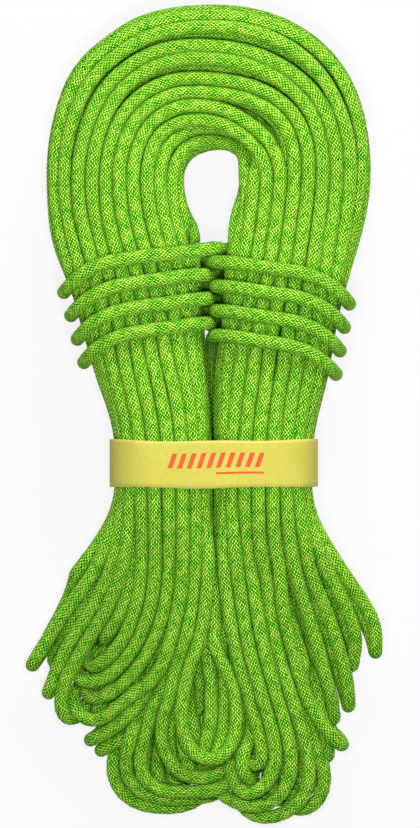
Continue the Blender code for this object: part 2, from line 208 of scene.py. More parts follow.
def sectionPoints(width, depth, sway, rise):
    # (outward, up) for every slot; sway is in pitches along the layer, rise in metres outwards
    points = np.zeros((len(slots), 2))
    for layer, count in enumerate(rope["layers"]):
        halfWidth = width - radius - layer * rope["layerStep"]
        halfDepth = depth - radius - layer * rope["layerStep"]
        if count == 1:
            continue
        outline = sectionOutline(halfWidth, halfDepth)
        run = runAlong(outline)
        first = slotAt[(layer, 0)]
        share = (np.arange(count) + 0.5 + sway[first:first + count]) / count % 1
        line = pointsAt(share * run[-1], run, outline)
        outward = line / np.linalg.norm(line, axis=1)[:, None]
        points[first:first + count] = line + outward * rise[first:first + count, None]
    return points


def stationList():
    # from the left leg's waist over the arch to the right leg's: middle, outward direction, sizes
    drops = np.linspace(0, waistDrop, int(waistDrop / legShape["step"]) + 1)
    stations = []
    for drop in drops[::-1]:
        width, depth, middle, height = legAt(drop, -1)
        stations.append(((middle, -drop), (-1.0, 0.0), width, depth, height, drop))
    for step in range(1, archShape["steps"]):
        turn = math.pi * (1 - step / archShape["steps"])
        out = (math.cos(turn), math.sin(turn))
        width, depth, middle, height = archAt(turn)
        stations.append(((middle * out[0], middle * out[1]), out, width, depth, height, 0.0))
    for drop in drops:
        width, depth, middle, height = legAt(drop, 1)
        stations.append(((middle, -drop), (1.0, 0.0), width, depth, height, drop))
    return stations


def passWander(count):
    # slow sideways and outward wander of every pass over the stations, none at the waist
    along = np.linspace(0, 1, count)
    free = np.sin(math.pi * along) ** rope["wanderFree"]
    sway = np.zeros((count, len(slots)))
    rise = np.zeros((count, len(slots)))
    for slot in range(len(slots)):
        for waves, strength in rope["wander"]:
            sway[:, slot] += strength * np.sin(2 * math.pi * (waves * along + rng.random()))
            rise[:, slot] += rope["wanderRise"] * strength * np.sin(
                2 * math.pi * (waves * along + rng.random()))
    return sway * free[:, None], rise * free[:, None]


def archDrift(stations):
    # the outer layer's own shift over the arch, carried a little way down the right leg
    slotRow = np.arange(rope["layers"][0])
    table = np.array([np.interp(slotRow, archShape["driftSlots"], row)
                      for row in archShape["drift"]])
    drift = np.zeros((len(stations), len(slots)))
    for place, (_, out, *_, drop) in enumerate(stations):
        turn = math.degrees(math.atan2(out[1], out[0]))
        if drop and out[0] > 0:
            turn = archShape["driftTurn"][0] * drop / archShape["driftDown"]
        for slot in slotRow:
            drift[place, slot] = np.interp(turn, archShape["driftTurn"], table[:, slot])
    return drift


def windPasses():
    stations = stationList()
    sway, rise = passWander(len(stations))
    sway += archDrift(stations)
    runs = np.zeros((len(stations), len(slots), 3))
    for place, (middle, out, width, depth, height, _) in enumerate(stations):
        section = sectionPoints(width, depth, sway[place], rise[place])
        runs[place, :, 0] = hankPlace["x"] + middle[0] + out[0] * section[:, 0]
        runs[place, :, 1] = hankPlace["y"] + middle[1] + out[1] * section[:, 0]
        runs[place, :, 2] = height + section[:, 1]
    return stations, runs


stations, runs = windPasses()
print("passes wound,", len(slots), "over", len(stations), "stations")

# The fan of bights at the bottom. Each bight that shows: its leg, the slot it comes from, the
# slot it goes back to, and its points (pixel across, pixel down, height in mm). An "under" one
# folds back beneath itself, an "open" one lies round in a curve.
shownBights = [
    ("left", (0, 1), (0, 22), "under", (
        (115, 524, 67), (107, 545, 63), (92, 576, 56), (69, 608, 46), (44, 645, 34),
        (36, 659, 30))),
    ("left", (0, 2), (0, 21), "under", (
        (122, 530, 74), (111, 572, 65), (98, 602, 56), (74, 636, 43), (57, 669, 31),
        (51, 686, 27))),
    ("left", (0, 3), (1, 1), "open", (
        (131, 540, 76), (121, 575, 69), (109, 605, 60), (85, 645, 46), (66, 680, 35),
        (61, 703, 29), (68, 717, 24), (82, 714, 18), (94, 690, 14))),
    ("left", (1, 2), (0, 20), "under", (
        (136, 558, 67), (129, 585, 65), (120, 610, 60), (112, 625, 55), (108, 633, 51))),
    ("left", (0, 4), (1, 0), "open", (
        (145, 540, 78), (140, 590, 70), (130, 628, 61), (115, 652, 53), (101, 666, 46),
        (90, 666, 38), (84, 654, 29), (86, 630, 22))),
    ("left", (0, 5), (1, 3), "open", (
        (157, 545, 80), (151, 600, 70), (136, 642, 58), (115, 669, 49), (96, 681, 42),
        (81, 681, 34), (76, 669, 25), (84, 648, 18))),
    ("left", (0, 6), (1, 4), "open", (
        (171, 550, 80), (164, 612, 68), (146, 656, 56), (122, 684, 46), (103, 697, 38),
        (91, 698, 31), (86, 687, 23), (92, 668, 16))),
    ("left", (0, 7), (2, 1), "open", (
        (184, 550, 80), (179, 620, 68), (160, 668, 55), (132, 700, 43), (103, 718, 34),
        (82, 719, 28), (72, 706, 22), (75, 692, 17), (90, 672, 12))),
    ("left", (1, 5), (0, 19), "under", (
        (176, 600, 58), (163, 668, 44), (138, 706, 36), (111, 730, 30), (97, 736, 26))),
    ("left", (2, 2), (0, 18), "under", (
        (172, 610, 48), (160, 688, 36), (144, 720, 30), (124, 740, 25), (108, 748, 22))),
    ("left", (0, 8), (2, 3), "open", (
        (196, 550, 80), (187, 620, 64), (174, 672, 54), (164, 710, 46), (162, 740, 40),
        (170, 762, 36), (188, 776, 32), (208, 778, 29), (224, 768, 26), (230, 745, 22),
        (226, 700, 20))),
    ("left", (1, 6), (2, 4), "open", (
        (186, 600, 60), (170, 660, 46), (155, 700, 38), (144, 735, 33), (140, 762, 29),
        (147, 782, 27), (166, 792, 26), (196, 790, 26), (222, 780, 25), (244, 765, 23),
        (250, 742, 19), (240, 700, 16))),
    ("left", (2, 5), (1, 12), "open", (
        (180, 620, 46), (158, 680, 36), (138, 718, 29), (127, 748, 25), (126, 768, 22),
        (134, 787, 20), (155, 797, 19), (180, 799, 18), (202, 795, 18), (222, 784, 17),
        (236, 765, 14), (236, 720, 12))),
    ("left", (1, 14), (0, 15), "open", (
        (150, 640, 28), (132, 700, 22), (116, 738, 18), (112, 766, 15), (118, 786, 13),
        (134, 802, 12), (154, 806, 11), (176, 806, 11), (196, 800, 10), (212, 786, 9),
        (216, 750, 8))),
    ("left", (0, 9), (0, 10), "open", (
        (205, 550, 78), (202, 625, 66), (189, 668, 60), (182, 708, 54), (186, 741, 49),
        (200, 757, 47), (218, 757, 47), (232, 742, 47), (237, 716, 49), (231, 685, 52),
        (221, 655, 55), (213, 620, 58), (212, 560, 64))),
    ("left", (1, 7), (0, 12), "under", (
        (210, 600, 56), (211, 660, 50), (212, 710, 46), (208, 746, 40))),
    ("right", (0, 1), (0, 21), "under", (
        (313, 526, 68), (329, 552, 63), (352, 586, 53), (368, 611, 44), (376, 631, 37),
        (375, 645, 33))),
    ("right", (0, 2), (0, 20), "under", (
        (308, 530, 78), (327, 570, 65), (344, 604, 54), (354, 630, 44), (356, 648, 36),
        (352, 659, 31))),
    ("right", (0, 3), (1, 2), "under", (
        (299, 540, 80), (316, 586, 67), (333, 630, 55), (343, 664, 45), (348, 687, 37),
        (348, 699, 32))),
    ("right", (0, 4), (1, 3), "under", (
        (288, 545, 80), (303, 600, 67), (319, 650, 55), (327, 686, 45), (328, 704, 37),
        (327, 715, 31))),
    ("right", (0, 5), (1, 4), "under", (
        (274, 550, 80), (284, 620, 66), (298, 675, 55), (313, 712, 47), (328, 733, 40),
        (336, 741, 36))),
    ("right", (0, 6), (1, 6), "open", (
        (262, 550, 80), (273, 630, 65), (289, 690, 54), (303, 735, 45), (309, 765, 38),
        (306, 790, 32), (292, 808, 27), (272, 816, 23), (252, 813, 18), (238, 800, 14),
        (232, 770, 10))),
    ("right", (0, 7), (2, 2), "open", (
        (250, 550, 80), (260, 630, 67), (275, 690, 57), (288, 740, 49), (291, 770, 43),
        (282, 793, 37), (262, 806, 31), (241, 804, 25), (226, 792, 20), (220, 765, 15))),
    ("right", (0, 8), (2, 4), "open", (
        (238, 550, 80), (246, 630, 67), (260, 690, 58), (272, 733, 51), (276, 762, 46),
        (268, 782, 41), (252, 790, 36), (236, 784, 30), (228, 766, 24))),
    ("right", (0, 9), (1, 7), "open", (
        (226, 550, 78), (232, 620, 66), (245, 680, 57), (258, 725, 50), (262, 750, 46),
        (256, 768, 42), (244, 768, 36), (238, 750, 30))),
    ("right", (1, 5), (0, 17), "open", (
        (286, 620, 52), (303, 690, 42), (317, 735, 35), (324, 768, 29), (322, 792, 24),
        (310, 807, 19), (294, 809, 14), (282, 796, 10), (276, 760, 8))),
    ("right", (2, 1), (0, 19), "under", (
        (300, 640, 46), (314, 700, 36), (324, 732, 29), (326, 747, 24))),
]
fan = {
    "reach": {"left": (206, 50), "right": (216, 350)},  # pixels across, from inner to outer
    "height": (7.0, 15.0, 20.0),    # lowest, then how much higher at the inner and outer side
    "outline": {"left": ((50, 640), (66, 682), (98, 716), (116, 760), (136, 792), (206, 793)),
                "right": ((216, 787), (255, 806), (300, 803), (314, 780), (332, 704), (354, 636))},
    "shortest": 20,                 # a hidden bight ends up to this far before the outline
    "pairWeight": (0.7, 1.0),       # across against up, where hidden passes look for a partner
    "pairFrom": 147,                # those furthest from here, weighted, choose first
    "pairApart": 17,                # and take the one about this far off
    "leave": (0.06, 0.13, 0.08),    # share of the way to the bight, just below the waist
    "spread": (0.40, 0.5, 0.42),    # the same half way down
    "arrive": ((0.25, 0.2, 0.2), (0.75, 0.8, 0.8)),     # shares of waist and bight further on
    "bend": (0.6, 1.15),            # turns round a hidden bight that get a point
    "least": 0.0085,                # half the width of the narrowest bight
    "fold": ((0.0055, 0.25), (0.0060, 0.7), (-0.001, 1.0)),     # on past the tip, share of its drop
    "underDrop": 12.0,              # of a fold, in mm
    "underShift": 0.0045,           # a fold's way back lies this much further in
    "underLow": 0.012,              # and this much lower
    "back": ((0.3, 0.33, 0.2), (0.7, 0.7, 0.6)),        # shares of an open bight's way back
}
sideSign = {"left": -1, "right": 1}
waistRow = {"left": 0, "right": len(stations) - 1}
startSlot, eyeSlot = (0, 23), (0, 11)
startLead = (88, 566, 42)           # where the rope's start runs on its way to the waist


def hiddenEnd(side, slot):
    # where a pass that doesn't show ends in the fan: across in pixels, and height in mm
    station = stations[waistRow[side]]
    point = runs[waistRow[side], slotAt[slot]]
    middle = hankPlace["x"] + station[0][0]
    out = sideSign[side] * (point[0] - middle) / (station[2] - radius)
    up = (point[2] - station[4]) / (station[3] - radius)
    inner, outer = fan["reach"][side]
    share = (out + 1) / 2
    lowest, innerRise, outerRise = fan["height"]
    rise = innerRise + (outerRise - innerRise) * share
    return inner + (outer - inner) * share, lowest + rise * (up + 1) / 2


def pairHidden(side):
    # neighbours in the fan are joined by a bight
    used = {slot for row in shownBights if row[0] == side for slot in row[1:3]}
    if side == "left":
        used |= {startSlot, eyeSlot}
    left = [slot for slot in slots if slot not in used]
    ends = {slot: np.array(hiddenEnd(side, slot)) * fan["pairWeight"] for slot in left}
    pairs = []
    while left:
        first = max(left, key=lambda slot: abs(ends[slot][0] - fan["pairFrom"]))
        left.remove(first)
        distance = {slot: np.linalg.norm(ends[slot] - ends[first]) for slot in left}
        other = min(left, key=lambda slot: abs(distance[slot] - fan["pairApart"]))
        left.remove(other)
        pairs.append([first, other])
    return pairs


hiddenPairs = {side: pairHidden(side) for side in ("left", "right")}


def partners(side):
    table = {}
    for row in shownBights:
        if row[0] == side:
            table[row[1]] = row[2]
            table[row[2]] = row[1]
    for first, other in hiddenPairs[side]:
        table[first] = other
        table[other] = first
    return table


def followRope():
    # the order of the passes from the start to the eye: (slot, side it comes up on)
    order, side, slot = [], "left", startSlot
    left, right = partners("left"), partners("right")
    while True:
        order.append((slot, side))
        if side == "left":
            slot, side = right[slot], "right"
        elif slot == eyeSlot:
            return order
        else:
            slot, side = left[slot], "left"


def joinLoops():
    # swap hidden pairs until all passes lie on one rope
    order = followRope()
    while len(order) < len(slots):
        on = {slot for slot, _ in order}
        best = None
        for side in ("left", "right"):
            for first in hiddenPairs[side]:
                for second in hiddenPairs[side]:
                    if (first[0] in on) and (second[0] not in on):
                        for turn in (0, 1):
                            swap = ((first[0], second[turn]), (first[1], second[1 - turn]))
                            cost = sum(np.linalg.norm(np.subtract(
                                hiddenEnd(side, a), hiddenEnd(side, b))) for a, b in swap)
                            if best is None or cost < best[0]:
                                best = (cost, side, first, second, swap)
        _, side, first, second, swap = best
        first[:], second[:] = list(swap[0]), list(swap[1])
        order = followRope()
    return order


order = joinLoops()
print("one rope through", len(order), "passes")


def waistPoint(side, slot):
    return runs[waistRow[side], slotAt[slot]]


def towardFan(side, slot, end):
    # from the waist to a hidden end: just below the waist, half way, and the end
    waist = waistPoint(side, slot)
    spread = np.array(fan["spread"])
    ofWaist, ofEnd = fan["arrive"]
    return [waist + (end - waist) * fan["leave"], waist * (1 - spread) + end * spread,
            waist * ofWaist + end * ofEnd]


def hiddenBight(side, first, other):
    # from the waist round a bight under the others and back to the waist
    outline = fan["outline"][side]
    ends = []
    placed = [hiddenEnd(side, slot) for slot in (first, other)]
    across = (placed[0][0] + placed[1][0]) / 2
    tip = float(np.interp(across, [row[0] for row in outline], [row[1] for row in outline]))
    tip -= fan["shortest"] * rng.random()
    apart = np.hypot((placed[0][0] - placed[1][0]) * photo["pixel"],
                     (placed[0][1] - placed[1][1]) * 0.001)
    depth = max(apart / 2, fan["least"]) / photo["pixel"]
    for place in placed:
        ends.append(fromPhoto(place[0], tip - depth, place[1]))
    middle, half = (ends[0] + ends[1]) / 2, (ends[0] - ends[1]) / 2
    if np.linalg.norm(half) < fan["least"]:
        half *= fan["least"] / np.linalg.norm(half)
        ends = [middle + half, middle - half]
    down = np.array((0, -depth * photo["pixel"], 0))
    early, late = fan["bend"]
    bend = [middle + half * math.cos(turn) + down * math.sin(turn)
            for turn in (early, late, math.pi / 2, math.pi - late, math.pi - early)]
    return (towardFan(side, first, ends[0]) + [ends[0]] + bend + [ends[1]]
            + towardFan(side, other, ends[1])[::-1])


def shownBight(side, other, kind, rows):
    # from the waist through the points that show, and back to the waist at the other slot
    shown = [fromPhoto(*row) for row in rows]
    waist = waistPoint(side, other)
    if kind == "under":
        # folds down and runs back beneath itself, then to its own place at the waist
        tip, before = shown[-1], shown[-2]
        run = (tip - before) * (1, 1, 0)
        run /= np.linalg.norm(run)
        drop = np.array((0, 0, min(fan["underDrop"] * 0.001, tip[2] - radius)))
        turn = [tip + run * on - drop * share for on, share in fan["fold"]]
        back = []
        for number, point in enumerate(shown[::-1][1:-1]):
            share = (number + 1) / len(shown)
            low = point - np.array((sideSign[side] * fan["underShift"], 0, fan["underLow"]))
            straight = tip - drop + (waist - tip + drop) * share
            back.append(low * (1 - share) + straight * share)
        return shown + turn + back
    last = shown[-1]
    return shown + [last + (waist - last) * share for share in fan["back"]]


def bightPoints(side, first, other):
    for row in shownBights:
        if row[0] == side and first in row[1:3] and other in row[1:3]:
            points = shownBight(side, *row[2:])
            return points if first == row[1] else points[::-1]
    return hiddenBight(side, first, other)


# The figures of eight round both legs
wraps = {
    "turns": 4,
    "steps": 14,                    # points on half a turn round a leg
    "skipped": 5,                   # of them, at the start behind the left leg
    "leaves": 0.048,                # the last pass leaves its leg at this drop
    "clearance": 0.0004,
    "firstTip": 0.0854,             # drop of the first at the outside of its leg
    "tipStep": 0.0082,
    "middleCrossing": 0.0858,
    "crossingStep": 0.00857,
    "ease": 2.3,                    # how flat they lie between the legs
    "firstPast": ((0.0575, 0.0625, 0.0700), (0.0080, -0.0020, 0.0)),    # how far past the middle
}
tails = {
    # the rope's ends follow the core strands in the frame
    "start": ((-0.113675, -0.16166, 0.007236), (-0.097491, -0.128407, 0.025396),
              (-0.092754, -0.118674, 0.030712)),
    "finish": ((0.003197, 0.0400, 0.0175), (0.003197, 0.0270, 0.0090), (0.003197, 0.0140, 0.0062),
               (0.003197, 0.0039, 0.0062), (0.003197, -0.0833, 0.0062)),
    "dive": (0, -0.006, -0.014),        # from the last figure of eight down between the legs
}


def crossingX(drop):
    # half way between the two legs
    edges = [legAt(drop, sign)[2] - sign * legAt(drop, sign)[0] for sign in (-1, 1)]
    return sum(edges) / 2 + float(np.interp(drop, *wraps["firstPast"]))


def wrapPoint(sign, turn, drop):
    width, depth, middle, height = legAt(drop, sign)
    standOff = radius + wraps["clearance"]
    power = rope["upperPower"] if math.sin(turn) >= 0 else rope["lowerPower"]
    cosine = math.copysign(abs(math.cos(turn)) ** (2 / power), math.cos(turn))
    sine = math.copysign(abs(math.sin(turn)) ** (2 / power), math.sin(turn))
    if cosine > 0:
        across = middle + sign * cosine * (width + standOff)
    else:
        across = middle - cosine * (crossingX(drop) - middle)
    return np.array((hankPlace["x"] + across, hankPlace["y"] - drop,
                     max(height + sine * (depth + standOff), radius)))


def tipDrop(number):
    return wraps["firstTip"] + wraps["tipStep"] * number


def crossingDrop(number):
    return wraps["middleCrossing"] + wraps["crossingStep"] * (
        number - (2 * wraps["turns"] - 1) / 2)


def halfWrap(sign, start, end, first, last):
    points = []
    for step in range(1, wraps["steps"] + 1):
        turn = start + (end - start) * step / wraps["steps"]
        share = (math.cos(start) - math.cos(turn)) / (math.cos(start) - math.cos(end))
        inward = math.cos(start) > 0
        eased = 1 - (1 - share) ** wraps["ease"] if inward else share ** wraps["ease"]
        points.append(wrapPoint(sign, turn, first + (last - first) * eased))
    return points


def wrapPoints():
    # from the eye behind the left leg, eight half figures, then to the finish
    points = halfWrap(-1, math.pi, 2 * math.pi, crossingDrop(-1), tipDrop(0))[wraps["skipped"]:]
    sign = -1
    for number in range(2 * wraps["turns"]):
        points += halfWrap(sign, 0, math.pi, tipDrop(number), crossingDrop(number))
        sign = -sign
        if number < 2 * wraps["turns"] - 1:
            points += halfWrap(sign, math.pi, 2 * math.pi, crossingDrop(number),
                               tipDrop(number + 1))
    top = points[-1]
    points.append(top + np.array(tails["dive"]))
    return points + [np.array(point) for point in tails["finish"]]


# The rope settles: its passes push each other apart, and it keeps its length and stiffness
settling = {
    "rounds": 300,
    "quickRounds": 90,
    "renew": 10,                    # rounds between searches for neighbours
    "near": 0.0155,                 # how far these look
    "skip": 3,                      # points along the rope that don't count as neighbours
    "push": 0.45,                   # shares of each fault that a round takes away
    "stiffness": 0.06,
    "length": 0.35,
    # How firmly points are held to where they were laid: 1 is fixed
    "fixed": 0.95,
    "startFirm": [1.0, 1.0, 0.6, 0.10],
    "passFirm": ((0.055, 0.065, 0.150, 0.195, 0.238), (0.05, 0.12, 0.12, 0.22, 0.20)),  # by drop
    "shownFirm": 0.11,
    "leadFirm": [0.10, 0.04],       # where a hidden pass leaves the waist
    "hiddenFirm": 0.012,
    "wrapFirm": 0.4,
    "finishFirm": [0.6, 0.8, 1.0, 1.0],
    "letGo": 0.7,                   # the share of it that is lost by the last round
    # Afterwards kinks are combed out near the waist, by drop, and where the bend is too sharp
    "combed": ((0.145, 0.170, 0.255, 0.285), (0.0, 1.0, 1.0, 0.0)),
    "combRounds": 14,
    "combing": 0.25,
    "sharpest": 0.0075,             # radius of a bend
    "bandRoom": ((0.168, 0.182, 0.230, 0.244), (0.0, 0.0026, 0.0026, 0.0)),  # under it, by drop
}


def ropeControls():
    # every control point of the rope with how firmly it is held while the rope settles
    points = [np.array(point) for point in tails["start"]]
    points.append(fromPhoto(*startLead))
    firm = list(settling["startFirm"])
    for place, (slot, side) in enumerate(order):
        column = slotAt[slot]
        rows = range(len(stations)) if side == "left" else range(len(stations) - 1, -1, -1)
        lastPass = place == len(order) - 1
        for row in rows:
            if lastPass and row < len(stations) / 2 and stations[row][5] > wraps["leaves"]:
                break
            points.append(runs[row, column])
            firm.append(np.interp(stations[row][5], *settling["passFirm"]))
        if not lastPass:
            far = "right" if side == "left" else "left"
            other = order[place + 1][0]
            bend = bightPoints(far, slot, other)
            shown = any(row[0] == far and slot in row[1:3] for row in shownBights)
            points += bend
            lead = settling["leadFirm"]
            hidden = [settling["hiddenFirm"]] * (len(bend) - 2 * len(lead))
            firm += ([settling["shownFirm"]] * len(bend) if shown
                     else lead + hidden + lead[::-1])
    wound = wrapPoints()
    points += wound
    finish = settling["finishFirm"]
    firm += [settling["wrapFirm"]] * (len(wound) - len(finish)) + finish
    return np.array(points), np.array(firm)


def throughPoints(points, values, spacing, fine=8):
    # a smooth line through the points, at even spacing, with the values carried along
    apart = np.linalg.norm(np.diff(points, axis=0), axis=1)
    knots = np.concatenate(([0], np.cumsum(np.sqrt(apart))))
    slopes = np.zeros_like(points)
    gaps = np.diff(knots)[:, None]
    steps = np.diff(points, axis=0) / gaps
    slopes[1:-1] = (steps[:-1] * gaps[1:] + steps[1:] * gaps[:-1]) / (gaps[1:] + gaps[:-1])
    slopes[0], slopes[-1] = steps[0], steps[-1]
    t = np.linspace(0, 1, fine, endpoint=False)[None, :, None]
    p0, p1 = points[:-1, None, :], points[1:, None, :]
    m0, m1 = slopes[:-1, None, :] * gaps[:, None, :], slopes[1:, None, :] * gaps[:, None, :]
    line = ((2 * t ** 3 - 3 * t ** 2 + 1) * p0 + (t ** 3 - 2 * t ** 2 + t) * m0
            + (-2 * t ** 3 + 3 * t ** 2) * p1 + (t ** 3 - t ** 2) * m1)
    line = np.vstack((line.reshape(-1, 3), points[-1:]))
    carried = (values[:-1, None] * (1 - t[0, :, 0]) + values[1:, None] * t[0, :, 0]).ravel()
    carried = np.append(carried, values[-1])
    run = runAlong(line)
    places = np.linspace(0, run[-1], int(round(run[-1] / spacing)) + 1)
    return pointsAt(places, run, line), np.interp(places, run, carried)


def nearPairs(points):
    # stretches of the rope that lie close together
    tree = kdtree.KDTree(len(points))
    for place, point in enumerate(points):
        tree.insert(point, place)
    tree.balance()
    first, second = [], []
    for place, point in enumerate(points[:-1]):
        for _, other, _ in tree.find_range(point, settling["near"]):
            if other > place + settling["skip"]:
                first.append(place)
                second.append(other)
    first, second = np.array(first), np.array(second)
    keep = second < len(points) - 1
    return first[keep], second[keep]


def contacts(points, first, second):
    # closest points of two stretches: shares along each, distance and direction
    a, b = points[first], points[second]
    alongA, alongB = points[first + 1] - a, points[second + 1] - b
    between = a - b
    aa = (alongA ** 2).sum(1)
    bb = (alongB ** 2).sum(1)
    ab = (alongA * alongB).sum(1)
    ar = (alongA * between).sum(1)
    br = (alongB * between).sum(1)
    shareA = np.clip((ab * br - ar * bb) / np.maximum(aa * bb - ab ** 2, 1e-14), 0, 1)
    shareB = np.clip((ab * shareA + br) / bb, 0, 1)
    shareA = np.clip((ab * shareB - ar) / aa, 0, 1)
    apart = between + alongA * shareA[:, None] - alongB * shareB[:, None]
    distance = np.linalg.norm(apart, axis=1)
    return shareA, shareB, distance, apart / np.maximum(distance, 1e-9)[:, None]


def settle(points, firm, rounds):
    target = points.copy()
    held = (firm > settling["fixed"])[:, None]
    rest = np.linalg.norm(np.diff(points, axis=0), axis=1)
    count = len(points)
    drops = hankPlace["y"] - points[:, 1]
    lowest = radius + np.interp(drops, *settling["bandRoom"])
    combed = np.where(held, 0, np.interp(drops, *settling["combed"])[:, None])
    for turn in range(rounds):
        if turn % settling["renew"] == 0:
            first, second = nearPairs(points)
        shareA, shareB, distance, away = contacts(points, first, second)
        hit = distance < rope["diameter"]
        i, j = first[hit], second[hit]
        s, t = shareA[hit], shareB[hit]
        weight = (1 - s) ** 2 + s ** 2 + (1 - t) ** 2 + t ** 2
        push = (rope["diameter"] - distance[hit]) / weight * settling["push"]
        move = np.zeros_like(points)
        for axis in range(3):
            force = push * away[hit][:, axis]
            move[:, axis] = (np.bincount(i, force * (1 - s), count)
                             + np.bincount(i + 1, force * s, count)
                             - np.bincount(j, force * (1 - t), count)
                             - np.bincount(j + 1, force * t, count))
        step = np.diff(points, axis=0)
        length = np.linalg.norm(step, axis=1)
        pull = step * ((length - rest) / length * 0.5 * settling["length"])[:, None]
        move[:-1] += pull
        move[1:] -= pull
        bend = np.zeros_like(points)
        bend[1:-1] = points[:-2] - 2 * points[1:-1] + points[2:]
        move[1:-1] -= settling["stiffness"] * (bend[:-2] - 2 * bend[1:-1] + bend[2:])
        ease = 1 - settling["letGo"] * turn / rounds
        move += (target - points) * firm[:, None] * ease
        points = points + np.where(held, 0, move)
        points[:, 2] = np.where(held[:, 0], points[:, 2], np.maximum(points[:, 2], lowest))
    least = rope["spacing"] ** 2 / settling["sharpest"]
    for _ in range(settling["combRounds"]):
        bend = points[:-2] - 2 * points[1:-1] + points[2:]
        sharp = np.pad(np.linalg.norm(bend, axis=1) / least - 1, 2)
        sharp = np.clip(np.maximum(sharp[1:-1], (sharp[2:] + sharp[:-2]) / 2), 0, 1)[:, None]
        share = np.where(held, 0, np.maximum(combed, sharp))[1:-1]
        points[1:-1] += share * bend * settling["combing"]
    first, second = nearPairs(points)
    distance = contacts(points, first, second)[2]
    print("rope settled: least gap", round((distance.min() - rope["diameter"]) * 1000, 2),
          "mm, stretches more than 1 mm into each other",
          int((distance < rope["diameter"] - 0.001).sum()))
    return points


controls, firmness = ropeControls()
line, firmness = throughPoints(controls, firmness, rope["spacing"])
print("rope laid out,", len(line), "points,", round(len(line) * rope["spacing"], 2), "m")
line = settle(line, firmness, settling["rounds"])

# The rope's skin: its sides, the turn from ring to ring, and the way between rings
skin = {"sides": 12, "bend": 0.30, "shortest": 0.0036, "longest": 0.0085, "fine": 0.0015}


def ringPlaces(points):
    # rings lie closer where the rope bends
    dense, _ = throughPoints(points, np.zeros(len(points)), skin["fine"])
    run = runAlong(dense)
    ahead = np.diff(dense, axis=0)
    ahead /= np.linalg.norm(ahead, axis=1)[:, None]
    turn = np.linalg.norm(np.diff(ahead, axis=0), axis=1) / skin["fine"]
    padded = np.pad(turn, (4, 5), mode="edge")
    turn = np.convolve(padded, np.ones(9) / 9, mode="same")[3:3 + len(dense)]
    step = np.clip(skin["bend"] / np.maximum(turn, 1), skin["shortest"], skin["longest"])
    rings = np.concatenate(([0], np.cumsum(skin["fine"] / step[:-1])))
    places = np.interp(np.linspace(0, rings[-1], int(rings[-1]) + 1), rings, run)
    return pointsAt(places, run, dense), places


def ropeMesh(name, points, places):
    # rings of vertices round the line, without twist, and a cap at each end
    count, sides = len(points), skin["sides"]
    ahead = np.zeros_like(points)
    ahead[1:-1] = points[2:] - points[:-2]
    ahead[0], ahead[-1] = points[1] - points[0], points[-1] - points[-2]
    ahead /= np.linalg.norm(ahead, axis=1)[:, None]
    across = np.zeros_like(points)
    across[0] = np.cross(ahead[0], (0, 0, 1))
    for place in range(1, count):
        before = across[place - 1]
        across[place] = before - ahead[place] * before.dot(ahead[place])
        across[place] /= math.sqrt(across[place].dot(across[place]))
    across[0] /= np.linalg.norm(across[0])
    other = np.cross(ahead, across)
    turn = np.arange(sides) / sides * 2 * math.pi
    verts = (points[:, None, :] + radius * (np.cos(turn)[None, :, None] * across[:, None, :]
                                            + np.sin(turn)[None, :, None] * other[:, None, :]))
    verts = np.vstack((verts.reshape(-1, 3), points[:1], points[-1:]))
    row = np.arange(count - 1)[:, None] * sides
    side = np.arange(sides)[None, :]
    after = (side + 1) % sides
    quads = np.stack((row + side, row + after, row + sides + after, row + sides + side), axis=-1)
    quads = quads.reshape(-1, 4)
    ends = [(len(verts) - 2, (k + 1) % sides, k) for k in range(sides)]
    last = (count - 1) * sides
    ends += [(len(verts) - 1, last + k, last + (k + 1) % sides) for k in range(sides)]
    mesh = bpy.data.meshes.new(name)
    mesh.vertices.add(len(verts))
    mesh.vertices.foreach_set("co", verts.ravel())
    corners = np.concatenate((quads.ravel(), np.array(ends).ravel()))
    sizes = np.concatenate((np.full(len(quads), 4), np.full(len(ends), 3)))
    mesh.loops.add(len(corners))
    mesh.loops.foreach_set("vertex_index", corners.astype(np.int32))
    mesh.polygons.add(len(sizes))
    starts = np.concatenate(([0], np.cumsum(sizes)[:-1]))
    mesh.polygons.foreach_set("loop_start", starts.astype(np.int32))
    mesh.update(calc_edges=True)
    around = np.stack(np.broadcast_arrays(side, side + 1, side + 1, side), axis=-1) / sides
    along = np.stack((places[:-1], places[:-1], places[1:], places[1:]), axis=-1)[:, None, :]
    around = np.broadcast_to(around, (count - 1, sides, 4))
    along = np.broadcast_to(along, (count - 1, sides, 4))
    flat = np.column_stack((around.ravel(), along.ravel()))
    capFlat = np.zeros((len(ends) * 3, 2))
    capFlat[len(ends) * 3 // 2:, 1] = places[-1]
    layer = mesh.uv_layers.new(name="lay")
    layer.data.foreach_set("uv", np.vstack((flat, capFlat)).ravel())
    mesh.polygons.foreach_set("use_smooth", np.ones(len(sizes), dtype=bool))
    mesh.validate()
    made = bpy.data.objects.new(name, mesh)
    bpy.context.collection.objects.link(made)
    return made


rings, ringRun = ringPlaces(line)
climbingRope = ropeMesh("climbingRope", rings, ringRun)


